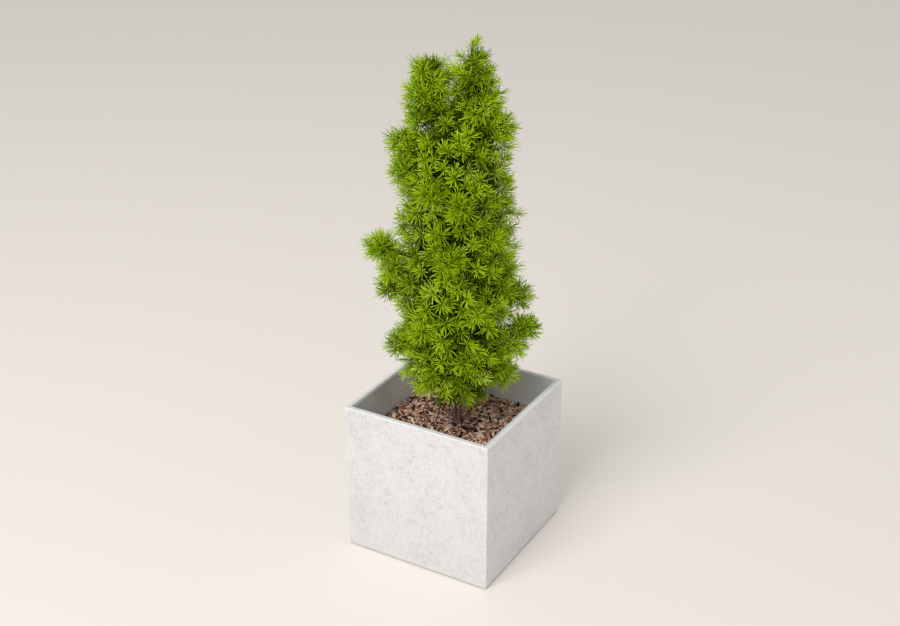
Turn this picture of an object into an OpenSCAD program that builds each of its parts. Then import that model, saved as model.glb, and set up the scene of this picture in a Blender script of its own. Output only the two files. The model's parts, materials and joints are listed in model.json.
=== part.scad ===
// Square planter box: four mitred fibre-concrete panels round a base frame of steel angle on
// levelling feet, with a lift-out sheet-steel liner that holds the planting.
// Origin on the ground under the middle of the box, +Z up, the front face towards -Y.

/* [Box] */
// Outer width of the box, left to right
box_w = 500; // [420:10:900]
// Outer depth of the box, front to back
box_d = 500; // [420:10:900]
// Height of the rim above the ground
box_h = 500; // [400:10:800]
// Gap between the ground and the bottom edges of the panels
ground_gap = 5; // [3:1:9]
// Thickness of a panel
panel_t = 15; // [13:1:22]
// Chamfer on the outer edges of the box
arris = 3; // [1:0.5:5]
// Chamfer on the rim's inner edge
inner_arris = 1; // [0.5:0.5:2]
// Width of the bonded joint at each mitre
mitre_gap = 0.3; // [0.1:0.1:1]

/* [Corner cleats] */
// Leg of the folded cleat bonded behind each mitre
cleat_leg = 30; // [15:1:60]
// Thickness of a cleat
cleat_t = 1.5; // [1:0.5:3]
// Height of the cleats above the base frame
cleat_rise = 10; // [2:1:30]
// Drop from the rim to the top of the cleats
cleat_drop = 18; // [10:1:60]

/* [Base frame] */
// Height of the frame's underside above the ground
frame_z = 20; // [19:1:40]
// Leg of the steel angle that the frame is welded from
rail_leg = 30; // [28:1:50]
// Thickness of the steel angle
rail_t = 3; // [3:0.5:5]
// Width of the tubes under the liner, which are as high as the angle's leg
bearer_w = 30; // [28:1:50]
// Wall of the tubes
bearer_wall = 2; // [1.5:0.5:4]
// Distance between the two bearers
bearer_pitch = 240; // [160:10:250]
// Clearance at each end of a bearer
bearer_gap = 1; // [0.5:0.5:3]
// Distance between the ground anchor holes, left to right
anchor_spread = 180; // [100:10:260]
// Diameter of a ground anchor hole
anchor_d = 11; // [9:1:13]

/* [Fasteners] */
// Diameter of the screws in the panels and bearers
screw_d = 6; // [5:1:6]
// Distance between the two screws on each side
fix_spread = 320; // [300:10:340]
// Depth that a screw goes into its insert
grip = 10; // [6:1:11]
// Outer diameter of a threaded insert
insert_d = 9; // [8:0.5:10]
// Depth of a threaded insert
insert_l = 11; // [8:1:12]
// Gap between a thread and its nut or insert
thread_gap = 0.05; // [0.01:0.01:0.1]

/* [Levelling feet] */
// Thread diameter of a foot's stem
stem_d = 10; // [8:1:12]
// Distance from the panels' inner faces to a stem's centre line
foot_inset = 19; // [18:0.5:24]
// Travel of a foot
foot_travel = 15; // [5:1:15]
// Diameter of a foot's pad
pad_d = 36; // [30:1:40]
// Thickness of a pad's rim
pad_h = 5; // [4:0.5:6]
// Thickness of a lock nut
lock_nut_h = 5; // [4:0.5:6]
// Height of a weld nut
weld_nut_h = 8; // [6:0.5:10]

/* [Liner] */
// Thickness of the liner's sheet steel
liner_t = 2; // [1.5:0.5:3]
// Clearance between the liner and the cleats
liner_gap = 1; // [0.5:0.5:4]
// Drop from the rim to the liner's top edge
liner_drop = 2.5; // [1:0.5:8]
// Outer radius of the liner's folded corners
liner_r = 3; // [2.5:0.5:6]
// Diameter of a drain hole
drain_d = 12; // [8:1:16]
// Distance between drain holes, left to right
drain_pitch_x = 150; // [60:10:180]
// Distance between drain holes, front to back
drain_pitch_y = 175; // [170:5:185]

/* [Planting] */
// Gap between the liner and what fills it
fill_gap = 1; // [0.5:0.5:3]
// Depth of the drainage gravel
gravel_h = 50; // [20:5:90]
// Thickness of the filter fleece
fleece_t = 2; // [1:0.5:4]
// Drop from the rim to the mulch at the walls
mulch_drop = 122; // [100:1:150]
// Depth of the mulch at the walls
mulch_h = 40; // [20:1:60]
// Rise of the mulch towards the trunk
mulch_crown = 10; // [4:1:20]
// Diameter of the root ball at its top
root_d = 250; // [150:10:320]
// Height of the root ball
root_h = 200; // [100:10:210]

/* [Shrub] */
// Height of the shrub above the mulch
shrub_h = 1240; // [900:5:1500]
// Diameter of the trunk at the mulch
trunk_d = 24; // [16:1:34]
// Radius of the foliage column
crown_r = 172; // [120:1:190]
// Radius of a side bough's foliage
bough_r = 80; // [50:1:90]
// Clear height between the mulch and the foliage
crown_lift = 72; // [60:1:140]
// Gap between the wood and the foliage round it
wood_gap = 0.5; // [0.3:0.1:2]

/* [Hidden] */
$fn = 96;
BIG = 4000;
in_x = box_w / 2 - panel_t;
in_y = box_d / 2 - panel_t;
rail_x = in_x - rail_t;
rail_y = in_y - rail_t;
rail_top = frame_z + rail_leg;
leg_top = frame_z + rail_t;
bearer_z = leg_top;
liner_x = in_x - cleat_t - liner_gap;
liner_y = in_y - cleat_t - liner_gap;
liner_z = bearer_z + rail_leg;
liner_top = box_h - liner_drop;
floor_z = liner_z + liner_t;
fill_x = liner_x - liner_t - fill_gap;
fill_y = liner_y - liner_t - fill_gap;
gravel_top = floor_z + gravel_h;
fleece_top = gravel_top + fleece_t;
mulch_edge = box_h - mulch_drop;
soil_top = mulch_edge - mulch_h;
mulch_top = mulch_edge + mulch_crown;

// Screws: washer and head sizes for the screw diameter
screw_r = screw_d / 2;
hole_r = screw_r + 0.3;
head_af = screw_d == 6 ? 10 : 8;
head_h = 4;
washer_r = screw_d + 0.2;
washer_h = 1.6;
fix_z = frame_z + rail_t + head_af / 2 + 8;
seat_y = rail_leg / 2 + 1;

// Feet: stem, its hexagon, and the snap-in socket of the pad
stem_r = stem_d / 2;
stem_x = in_x - foot_inset;
stem_y = in_y - foot_inset;
stem_hole_r = stem_r + 0.5;
nut_af = stem_d * 1.7;
lock_z = frame_z - lock_nut_h;
socket_z = 3;
lip_z = 6;
face_gap = 0.2;
pad_top = pad_h + 4;
disc_r = stem_r + 2;
hex_z = pad_top + face_gap;
hex_top = lock_z - face_gap;
// The stem still fills its weld nut when the foot is wound right out
stem_top = leg_top + weld_nut_h + foot_travel + 3;
boss_r = disc_r + 4;

// Shrub: heights are shares of the shrub's height, turned to face the front right
shrub_z = mulch_edge;
shrub_top = shrub_z + shrub_h;
lean_a = 30;
crown_z = mulch_edge + mulch_crown + crown_lift;
crown_top = shrub_top - 200;
tip_r = 4;
fork_z = crown_top - 60;
// Each layer of the column: lower and upper height, radii at both, and sideways offset
split_1 = crown_z + 0.15 * (crown_top - crown_z);
split_2 = crown_z + 0.38 * (crown_top - crown_z);
split_3 = crown_z + 0.62 * (crown_top - crown_z);
// Boughs: sideways place and height of the foliage balls on the left and right
bough_l = [-165, shrub_z + 0.505 * shrub_h];
bough_r_at = [165, shrub_z + 0.3 * shrub_h];
// The two tops above the column: sideways place and height of each tip, and their radii
top_l = [-67, shrub_top - 45];
top_r = [53, shrub_top];
top_l_r = 65;
top_r_r = 51;
// Distance from the trunk at which the side boughs leave the column, and where they end in it
bough_in = crown_r + 14;
bough_end = bough_in + 25;
// The shrub's limbs: sideways place and height where each starts in the trunk and where it ends
tip_drop = 40;
left_stem = [[0, fork_z - 40], top_l - [0, tip_drop]];
right_stem = [[2, fork_z - 10], top_r - [0, tip_drop]];
left_bough = [[0, bough_l[1] - 130], [-bough_end, bough_l[1]]];
right_bough = [[0, bough_r_at[1] - 110], [bough_end, bough_r_at[1]]];
// Low branches: turn about the trunk and height of the fork above the mulch, reach and radius
twigs = [[205, 24], [20, 30], [35, 12]];
twig_reach = 62;
twig_drop = 8;
twig_r = 2.5;
seam_turn = 80;

CONCRETE = [0.90, 0.90, 0.88];
GALVANISED = [0.66, 0.68, 0.70];
LINER_GREY = [0.42, 0.41, 0.39];
ZINC = [0.74, 0.75, 0.76];
BRASS = [0.78, 0.62, 0.32];
BLACK = [0.12, 0.12, 0.12];
CLAY = [0.62, 0.38, 0.26];
FLEECE = [0.86, 0.86, 0.84];
PEAT = [0.20, 0.14, 0.10];
BARK = [0.50, 0.37, 0.30];
WOOD = [0.30, 0.21, 0.17];
LEAF = [0.40, 0.52, 0.06];

// A block centred on the Z axis, from its half sizes and its two heights
module block(x, y, z0, z1) {
    translate([-x, -y, z0]) cube([2 * x, 2 * y, z1 - z0]);
}

// ---- Panels ----

// A panel that faces -Y: half_w is half its outer width, out the distance to its outer face
module panel(half_w, out) {
    near = out - panel_t;
    g = mitre_gap / 2;
    // Plan: the outer face between the corner chamfers, and the mitred ends
    plan = [
        [-half_w + arris, -out], [half_w - arris, -out],
        [half_w - arris / 2 - g, -out + arris / 2], [half_w - panel_t - g, -near],
        [-half_w + panel_t + g, -near], [-half_w + arris / 2 + g, -out + arris / 2]
    ];
    // Section: the outer face on the left, with both rim chamfers
    section = [
        [-out, ground_gap], [-out, box_h - arris], [-out + arris, box_h],
        [-near - inner_arris, box_h], [-near, box_h - inner_arris], [-near, ground_gap]
    ];
    color(CONCRETE) difference() {
        intersection() {
            linear_extrude(box_h) polygon(plan);
            translate([-BIG / 2, 0, 0]) rotate([90, 0, 90]) linear_extrude(BIG) polygon(section);
        }
        for (s = [-1, 1])
            translate([s * fix_spread / 2, -near, fix_z]) rotate([90, 0, 0])
                translate([0, 0, -1]) cylinder(h = insert_l + 1, d = insert_d);
    }
}

// ---- Corner cleats ----

// A folded cleat in the corner given by the signs of x and y
module corner_cleat(sx, sy) {
    z0 = rail_top + cleat_rise;
    z1 = box_h - cleat_drop;
    color(GALVANISED) in_corner(sx, sy) {
        translate([in_x - cleat_leg, in_y - cleat_t, z0]) cube([cleat_leg, cleat_t, z1 - z0]);
        translate([in_x - cleat_t, in_y - cleat_leg, z0]) cube([cleat_t, cleat_leg, z1 - z0]);
    }
}

// Mirrors what is drawn in the back right corner into another corner
module in_corner(sx, sy) {
    mirror([sx < 0 ? 1 : 0, 0, 0]) mirror([0, sy < 0 ? 1 : 0, 0]) children();
}

// ---- Base frame ----

// The front or back rail, full length, with holes for the stems, anchors and panel screws
module long_rail(sy) {
    color(GALVANISED) mirror([0, sy < 0 ? 1 : 0, 0]) difference() {
        union() {
            translate([-in_x, rail_y, frame_z]) cube([2 * in_x, rail_t, rail_leg]);
            translate([-in_x, in_y - rail_leg, frame_z]) cube([2 * in_x, rail_leg, rail_t]);
        }
        for (s = [-1, 1]) {
            translate([s * stem_x, stem_y, frame_z - 1]) cylinder(h = rail_t + 2, r = stem_hole_r);
            translate([s * anchor_spread / 2, in_y - seat_y, frame_z - 1])
                cylinder(h = rail_t + 2, d = anchor_d);
            translate([s * fix_spread / 2, rail_y - 1, fix_z]) rotate([-90, 0, 0])
                cylinder(h = rail_t + 2, r = hole_r);
        }
    }
}

// The left or right rail, coped over the legs of the long rails
module side_rail(sx) {
    color(GALVANISED) mirror([sx < 0 ? 1 : 0, 0, 0]) difference() {
        union() {
            translate([rail_x, -rail_y, leg_top]) cube([rail_t, 2 * rail_y, rail_leg - rail_t]);
            translate([in_x - rail_leg, -in_y + rail_leg, frame_z])
                cube([rail_leg, 2 * (in_y - rail_leg), rail_t]);
        }
        for (s = [-1, 1]) {
            translate([rail_x - 1, s * fix_spread / 2, fix_z]) rotate([0, 90, 0])
                cylinder(h = rail_t + 2, r = hole_r);
            translate([in_x - seat_y, s * bearer_pitch / 2, frame_z - 1])
                cylinder(h = rail_t + 2, r = hole_r);
        }
    }
}

// A tube across the frame, under the liner
module bearer(sy) {
    half = rail_x - bearer_gap;
    side = bearer_w / 2;
    color(GALVANISED) translate([0, sy * bearer_pitch / 2, 0]) difference() {
        block(half, side, bearer_z, liner_z);
        block(half + 1, side - bearer_wall, bearer_z + bearer_wall, liner_z - bearer_wall);
        for (s = [-1, 1])
            translate([s * (in_x - seat_y), 0, bearer_z - 1]) cylinder(h = bearer_wall + 2, d = insert_d);
    }
}

// ---- Fasteners ----

// Puts children at each of the eight panel screws, with +Z outwards through the rail
module at_panel_fixings() {
    for (s = [-1, 1]) {
        translate([s * fix_spread / 2, in_y, fix_z]) rotate([-90, 0, 0]) children();
        translate([s * fix_spread / 2, -in_y, fix_z]) rotate([90, 0, 0]) children();
        translate([in_x, s * fix_spread / 2, fix_z]) rotate([0, 90, 0]) children();
        translate([-in_x, s * fix_spread / 2, fix_z]) rotate([0, -90, 0]) children();
    }
}

// Puts children at each of the four bearer screws, at the top of the rail's leg
module at_bearer_fixings() {
    for (sx = [-1, 1], sy = [-1, 1])
        translate([sx * (in_x - seat_y), sy * bearer_pitch / 2, leg_top]) children();
}

// Puts children at each of the four feet
module at_feet() {
    for (sx = [-1, 1], sy = [-1, 1]) translate([sx * stem_x, sy * stem_y, 0]) children();
}

// A hexagon head or nut body standing on z = 0
module hexagon(af, h) {
    cylinder(h = h, r = af / sqrt(3), $fn = 6);
}

// A tube standing on z = 0
module sleeve(outer_r, inner_r, h) {
    difference() {
        cylinder(h = h, r = outer_r);
        translate([0, 0, -1]) cylinder(h = h + 2, r = inner_r);
    }
}

module panel_inserts() {
    color(BRASS) at_panel_fixings() sleeve(insert_d / 2, screw_r + thread_gap, insert_l);
}

module panel_screws() {
    color(ZINC) at_panel_fixings() {
        under_head = -rail_t - washer_h;
        translate([0, 0, under_head - head_h]) hexagon(head_af, head_h);
        translate([0, 0, under_head]) cylinder(h = grip - under_head, r = screw_r);
    }
}

module panel_washers() {
    color(ZINC) at_panel_fixings()
        translate([0, 0, -rail_t - washer_h]) sleeve(washer_r, hole_r, washer_h);
}

module bearer_rivet_nuts() {
    color(ZINC) at_bearer_fixings() sleeve(insert_d / 2, screw_r + thread_gap, insert_l);
}

module bearer_screws() {
    color(ZINC) at_bearer_fixings() {
        translate([0, 0, -rail_t - head_h]) hexagon(head_af, head_h);
        translate([0, 0, -rail_t]) cylinder(h = rail_t + grip, r = screw_r);
    }
}

// A nut for a foot's stem, standing on z
module stem_nut(z, h) {
    translate([0, 0, z]) difference() {
        hexagon(nut_af, h);
        translate([0, 0, -1]) cylinder(h = h + 2, r = stem_r + thread_gap);
    }
}

module foot_weld_nuts() {
    color(ZINC) at_feet() stem_nut(leg_top, weld_nut_h);
}

module foot_lock_nuts() {
    color(ZINC) at_feet() stem_nut(lock_z, lock_nut_h);
}

// ---- Levelling feet ----

// A threaded stem with its hexagon, and the disc that snaps into the pad
module foot_stem(sx, sy) {
    color(ZINC) translate([sx * stem_x, sy * stem_y, 0]) {
        translate([0, 0, socket_z + face_gap]) {
            cylinder(h = lip_z - socket_z - 2 * face_gap, r = disc_r);
            cylinder(h = stem_top - socket_z - face_gap, r = stem_r);
        }
        translate([0, 0, hex_z]) hexagon(nut_af, hex_top - hex_z);
    }
}

// A round pad with a raised boss and a lipped socket for the stem
module foot_pad(sx, sy) {
    lip_r = stem_r + thread_gap;
    profile = [
        [0, 0], [pad_d / 2 - 1, 0], [pad_d / 2, 1], [pad_d / 2, pad_h - 1.5], [pad_d / 2 - 1.5, pad_h],
        [boss_r, pad_h], [boss_r - 0.5, pad_top], [lip_r, pad_top], [lip_r, lip_z],
        [disc_r + thread_gap, lip_z], [disc_r + thread_gap, socket_z], [0, socket_z]
    ];
    color(BLACK) translate([sx * stem_x, sy * stem_y, 0]) rotate_extrude() polygon(profile);
}

// ---- Liner ----

// A block with rounded upright corners
module rounded_block(x, y, r, z0, z1) {
    block(x - r, y, z0, z1);
    block(x, y - r, z0, z1);
    for (sx = [-1, 1], sy = [-1, 1])
        translate([sx * (x - r), sy * (y - r), z0]) cylinder(h = z1 - z0, r = r);
}

module liner() {
    color(LINER_GREY) difference() {
        rounded_block(liner_x, liner_y, liner_r, liner_z, liner_top);
        rounded_block(liner_x - liner_t, liner_y - liner_t, liner_r - liner_t, floor_z, liner_top + 1);
        for (i = [-1, 0, 1], j = [-1, 0, 1])
            translate([i * drain_pitch_x, j * drain_pitch_y, liner_z - 1])
                cylinder(h = liner_t + 2, d = drain_d);
    }
}

// ---- Planting ----

module drainage_gravel() {
    color(CLAY) block(fill_x, fill_y, floor_z, gravel_top);
}

module filter_fleece() {
    color(FLEECE) block(fill_x, fill_y, gravel_top, fleece_top);
}

// The tapered ball of roots, as it came out of its pot
module root_shape() {
    translate([0, 0, soil_top - root_h]) cylinder(h = root_h, d1 = root_d * 0.8, d2 = root_d);
}

module substrate() {
    color(PEAT) difference() {
        block(fill_x, fill_y, fleece_top, soil_top);
        root_shape();
        translate([0, 0, soil_top - 1]) cylinder(h = 2, d = root_d - 1);
    }
}

module root_ball() {
    color(PEAT) difference() {
        root_shape();
        shaft(wood_gap);
    }
}

module bark_mulch() {
    color(BARK) difference() {
        union() {
            block(fill_x, fill_y, soil_top, mulch_edge);
            translate([0, 0, mulch_edge])
                cylinder(h = mulch_crown, r1 = min(fill_x, fill_y), r2 = 2 * trunk_d);
        }
        shaft(wood_gap);
    }
}

// ---- Shrub ----

// A point seen from the front right: sideways offset and height
function beside(p) = [p[0] * cos(lean_a), p[0] * sin(lean_a), p[1]];

// A round limb between two points, grown by g; its seam is turned away from the way it leans
module limb(a, b, r, g) {
    v = b - a;
    l = norm(v);
    translate(a) rotate([0, acos(v[2] / l), atan2(v[1], v[0])]) rotate([0, 0, seam_turn])
        cylinder(h = l + g, r = r + g);
}

// The upright trunk from the root ball to its fork, grown by g
module shaft(g) {
    z0 = soil_top - root_h / 2;
    rotate_extrude() polygon([
        [0, z0 - g], [trunk_d / 2 + g, z0 - g], [trunk_d / 2 + g, mulch_top + 60],
        [trunk_d / 3 + g, fork_z + g], [0, fork_z + g]
    ]);
}

// One of the shrub's limbs, grown by g
module bough(ends, g) {
    limb(beside(ends[0]), beside(ends[1]), tip_r, g);
}

module trunk() {
    color(WOOD) {
        shaft(0);
        for (ends = [left_stem, right_stem, left_bough, right_bough]) bough(ends, 0);
        for (t = twigs) {
            end = [twig_reach * cos(t[0]), twig_reach * sin(t[0]), crown_z - twig_drop];
            limb([0, 0, mulch_top + t[1]], end, twig_r, 0);
        }
    }
}

// One layer of the foliage column, with room for the trunk and for the limbs given as children:
// heights, lower and upper radius, sideways offset
module layer(z0, z1, r0, r1, off) {
    color(LEAF) difference() {
        difference() {
            translate(beside([off, 0])) rotate_extrude()
                polygon([[0, z0], [r0, z0], [(r0 + r1) / 2 + 6, (z0 + z1) / 2], [r1, z1], [0, z1]]);
            shaft(wood_gap);
        }
        children();
    }
}

// A ball of foliage round the end of a side bough, cut clear of the column
module bough_ball(at, ends) {
    color(LEAF) difference() {
        difference() {
            translate(beside(at)) sphere(r = bough_r);
            cylinder(h = BIG, r = bough_in);
        }
        bough(ends, wood_gap);
    }
}

// One of the two tops, standing on the column round its own stem
module top_tuft(top, r, ends) {
    z0 = crown_top + face_gap;
    h = top[1] - z0;
    color(LEAF) difference() {
        translate(beside([top[0], z0])) rotate_extrude()
            polygon([[0, 0], [0.85 * r, 0], [r, 0.35 * h], [0.8 * r, 0.75 * h], [0.25 * r, h], [0, h]]);
        bough(ends, wood_gap);
    }
}

module foliage_skirt() {
    layer(crown_z, split_1 - face_gap, crown_r * 0.62, crown_r * 0.9, 8);
}

module foliage_lower() {
    layer(split_1, split_2 - face_gap, crown_r * 0.95, crown_r, 6) bough(right_bough, wood_gap);
}

module foliage_middle() {
    layer(split_2, split_3 - face_gap, crown_r, crown_r * 0.97, -6) bough(left_bough, wood_gap);
}

module foliage_upper() {
    layer(split_3, crown_top, crown_r * 0.95, crown_r * 0.62, -8) {
        bough(left_stem, wood_gap);
        bough(right_stem, wood_gap);
    }
}

module foliage_left_bough() {
    bough_ball(bough_l, left_bough);
}

module foliage_right_bough() {
    bough_ball(bough_r_at, right_bough);
}

module foliage_left_top() {
    top_tuft(top_l, top_l_r, left_stem);
}

module foliage_leader() {
    top_tuft(top_r, top_r_r, right_stem);
}

panel(box_w / 2, box_d / 2);  // panel_front
rotate([0, 0, 180]) panel(box_w / 2, box_d / 2);  // panel_back
rotate([0, 0, -90]) panel(box_d / 2, box_w / 2);  // panel_left
rotate([0, 0, 90]) panel(box_d / 2, box_w / 2);  // panel_right
corner_cleat(-1, -1);  // corner_cleat_front_left
corner_cleat(1, -1);  // corner_cleat_front_right
corner_cleat(-1, 1);  // corner_cleat_back_left
corner_cleat(1, 1);  // corner_cleat_back_right
long_rail(-1);  // frame_rail_front
long_rail(1);  // frame_rail_back
side_rail(-1);  // frame_rail_left
side_rail(1);  // frame_rail_right
bearer(-1);  // bearer_front
bearer(1);  // bearer_back
panel_inserts();
panel_screws();
panel_washers();
bearer_rivet_nuts();
bearer_screws();
foot_weld_nuts();
foot_lock_nuts();
liner();
drainage_gravel();
filter_fleece();
substrate();
root_ball();
bark_mulch();
trunk();
foliage_skirt();
foliage_lower();
foliage_middle();
foliage_upper();
foliage_left_bough();
foliage_right_bough();
foliage_left_top();
foliage_leader();
foot_stem(-1, -1);  // foot_stem_front_left
foot_stem(1, -1);  // foot_stem_front_right
foot_stem(-1, 1);  // foot_stem_back_left
foot_stem(1, 1);  // foot_stem_back_right
foot_pad(-1, -1);  // foot_pad_front_left
foot_pad(1, -1);  // foot_pad_front_right
foot_pad(-1, 1);  // foot_pad_back_left
foot_pad(1, 1);  // foot_pad_back_right
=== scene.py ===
"""Looks of a planted street planter: concrete box, steel frame, feet, liner, bark mulch and shrub.

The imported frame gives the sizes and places. New pieces are built around it in metres, +Z up, with the
origin on the ground under the middle of the box and the front panel towards -Y.
"""
import json
import logging
import math
from dataclasses import dataclass
from enum import Enum
from typing import Any, Union

import bpy
import numpy as np
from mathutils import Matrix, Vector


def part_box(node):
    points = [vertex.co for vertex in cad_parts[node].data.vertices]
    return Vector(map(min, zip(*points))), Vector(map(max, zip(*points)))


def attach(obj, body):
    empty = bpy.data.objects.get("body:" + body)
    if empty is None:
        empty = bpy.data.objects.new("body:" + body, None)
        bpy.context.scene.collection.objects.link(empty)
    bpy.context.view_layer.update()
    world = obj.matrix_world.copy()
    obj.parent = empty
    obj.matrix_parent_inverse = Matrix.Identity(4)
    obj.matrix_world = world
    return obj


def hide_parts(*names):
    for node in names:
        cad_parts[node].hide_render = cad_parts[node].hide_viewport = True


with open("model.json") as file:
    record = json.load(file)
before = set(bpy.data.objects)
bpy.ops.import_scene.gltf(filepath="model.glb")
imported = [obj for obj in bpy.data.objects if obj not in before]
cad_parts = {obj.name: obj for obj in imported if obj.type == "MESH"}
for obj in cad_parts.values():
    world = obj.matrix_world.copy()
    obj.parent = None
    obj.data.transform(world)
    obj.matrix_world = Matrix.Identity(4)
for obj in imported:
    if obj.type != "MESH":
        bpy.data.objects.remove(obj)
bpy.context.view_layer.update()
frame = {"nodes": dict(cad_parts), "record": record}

LOG = logging.getLogger("planter")
MM = 0.001
GOLDEN_ANGLE = math.pi * (3 - math.sqrt(5))
LEAN = math.radians(30)
ACROSS = np.array([math.cos(LEAN), math.sin(LEAN), 0.0])
AWAY = np.array([-math.sin(LEAN), math.cos(LEAN), 0.0])
UP = np.array([0.0, 0.0, 1.0])

Array = np.ndarray
Material = bpy.types.Material
Triple = tuple[float, float, float]
Colour = Triple
Number = Union[float, "Value"]


# ---- shader tools


def paint(red: int, green: int, blue: int) -> Colour:
    """A colour as seen on a screen, 0 to 255, turned to the linear values that shaders use.

    Each channel c becomes (c + 0.055) / 1.055 to the power 2.4, or c / 12.92 near black.
    """
    shares = [channel / 255 for channel in (red, green, blue)]
    return tuple(c / 12.92 if c <= 0.04045 else ((c + 0.055) / 1.055) ** 2.4 for c in shares)


class Value:
    """A number in a node tree. Arithmetic on it adds Math nodes."""

    def __init__(self, tree: "Tree", socket: bpy.types.NodeSocket) -> None:
        """Wraps one output socket of a tree."""
        self.tree = tree
        self.socket = socket

    def maths(self, operation: str, *terms: Number) -> "Value":
        """The result of a Math node on these terms."""
        return self.tree.out("ShaderNodeMath", {"operation": operation}, dict(enumerate(terms)))

    def __add__(self, other: Number) -> "Value":
        """self + other."""
        return self.maths("ADD", self, other)

    def __sub__(self, other: Number) -> "Value":
        """self - other."""
        return self.maths("SUBTRACT", self, other)

    def __rsub__(self, other: Number) -> "Value":
        """other - self."""
        return self.maths("SUBTRACT", other, self)

    def __mul__(self, other: Number) -> "Value":
        """self * other."""
        return self.maths("MULTIPLY", self, other)

    __radd__ = __add__
    __rmul__ = __mul__

    def distance(self) -> "Value":
        """The size of the number, without its sign."""
        return self.maths("ABSOLUTE", self)

    def larger(self, other: Number) -> "Value":
        """The larger of the two numbers."""
        return self.maths("MAXIMUM", self, other)

    def between(self, low: float, high: float) -> "Value":
        """0 below low, 1 above high, and a smooth step between; low may be the larger."""
        settings = {"interpolation_type": "SMOOTHSTEP"}
        return self.tree.out("ShaderNodeMapRange", settings, {0: self, 1: low, 2: high})


class Tree:
    """The node tree of one material, with a Principled shader."""

    def __init__(self, name: str) -> None:
        """Makes an empty material of this name."""
        self.material = bpy.data.materials.new(name)
        self.material.use_nodes = True
        self.nodes = self.material.node_tree.nodes
        self.nodes.clear()

    def node(self, kind: str, settings: dict[str, Any], inputs: dict[Any, Any]) -> bpy.types.Node:
        """Adds a node.

        Args:
            kind: The node's type, such as ShaderNodeMath.
            settings: Its own properties, set first.
            inputs: A number, colour or Value for each input socket, by name or place.

        Returns:
            The new node.
        """
        made = self.nodes.new(kind)
        for key, setting in settings.items():
            setattr(made, key, setting)
        for key, given in inputs.items():
            target = made.inputs[key]
            if isinstance(given, Value):
                self.material.node_tree.links.new(given.socket, target)
            elif isinstance(given, tuple) and target.type == "RGBA":
                target.default_value = (*given, 1.0)
            else:
                target.default_value = given
        return made

    def out(self, kind: str, settings: dict[str, Any], inputs: dict[Any, Any], place: Any = 0) -> Value:
        """Adds a node and gives one of its outputs, by name or place."""
        return Value(self, self.node(kind, settings, inputs).outputs[place])

    def place(self, stretch: Triple = (1, 1, 1), source: str = "Object") -> Value:
        """Coordinates of a point on the piece, each axis multiplied by its stretch."""
        here = self.out("ShaderNodeTexCoord", {}, {}, source)
        return self.out("ShaderNodeVectorMath", {"operation": "MULTIPLY"}, {0: here, 1: stretch})

    def axes(self) -> list[Value]:
        """The X, Y and Z of a point on the piece, in metres."""
        split = self.node("ShaderNodeSeparateXYZ", {}, {0: self.place()})
        return [Value(self, split.outputs[i]) for i in range(3)]

    def noise(self, scale: float, detail: float = 2, rough: float = 0.5, at: Value | None = None) -> Value:
        """A smooth random number from 0 to 1 with this many features a metre."""
        where = self.place() if at is None else at
        inputs = {"Vector": where, "Scale": scale, "Detail": detail, "Roughness": rough}
        return self.out("ShaderNodeTexNoise", {}, inputs)

    def cells(self, scale: float, place: Any = 0) -> Value:
        """The distance to the nearest of many scattered points, or another output of that pattern."""
        inputs = {"Vector": self.place(), "Scale": scale}
        return self.out("ShaderNodeTexVoronoi", {}, inputs, place)

    def own_tone(self) -> Value:
        """The colour that the mesh gives each of its points."""
        return self.out("ShaderNodeAttribute", {"attribute_name": "tone"}, {}, "Color")

    def mix(self, share: Number, first: Any, second: Any) -> Value:
        """first where share is 0 and second where it is 1."""
        settings = {"data_type": "RGBA", "clamp_factor": True}
        return self.out("ShaderNodeMix", settings, {0: share, 6: first, 7: second}, 2)

    def bump(self, height: Value, depth: float, strength: float = 1.0) -> Value:
        """A normal tilted by a height whose rise from 0 to 1 is depth metres."""
        inputs = {"Strength": strength, "Distance": depth, "Height": height}
        return self.out("ShaderNodeBump", {}, inputs)

    def finish(self, **inputs: Any) -> Material:
        """Adds the Principled shader with these inputs, an underscore standing for a space."""
        named = {key.replace("_", " "): given for key, given in inputs.items()}
        shader = self.out("ShaderNodeBsdfPrincipled", {}, named)
        self.node("ShaderNodeOutputMaterial", {}, {0: shader})
        return self.material


# ---- finishes


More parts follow.
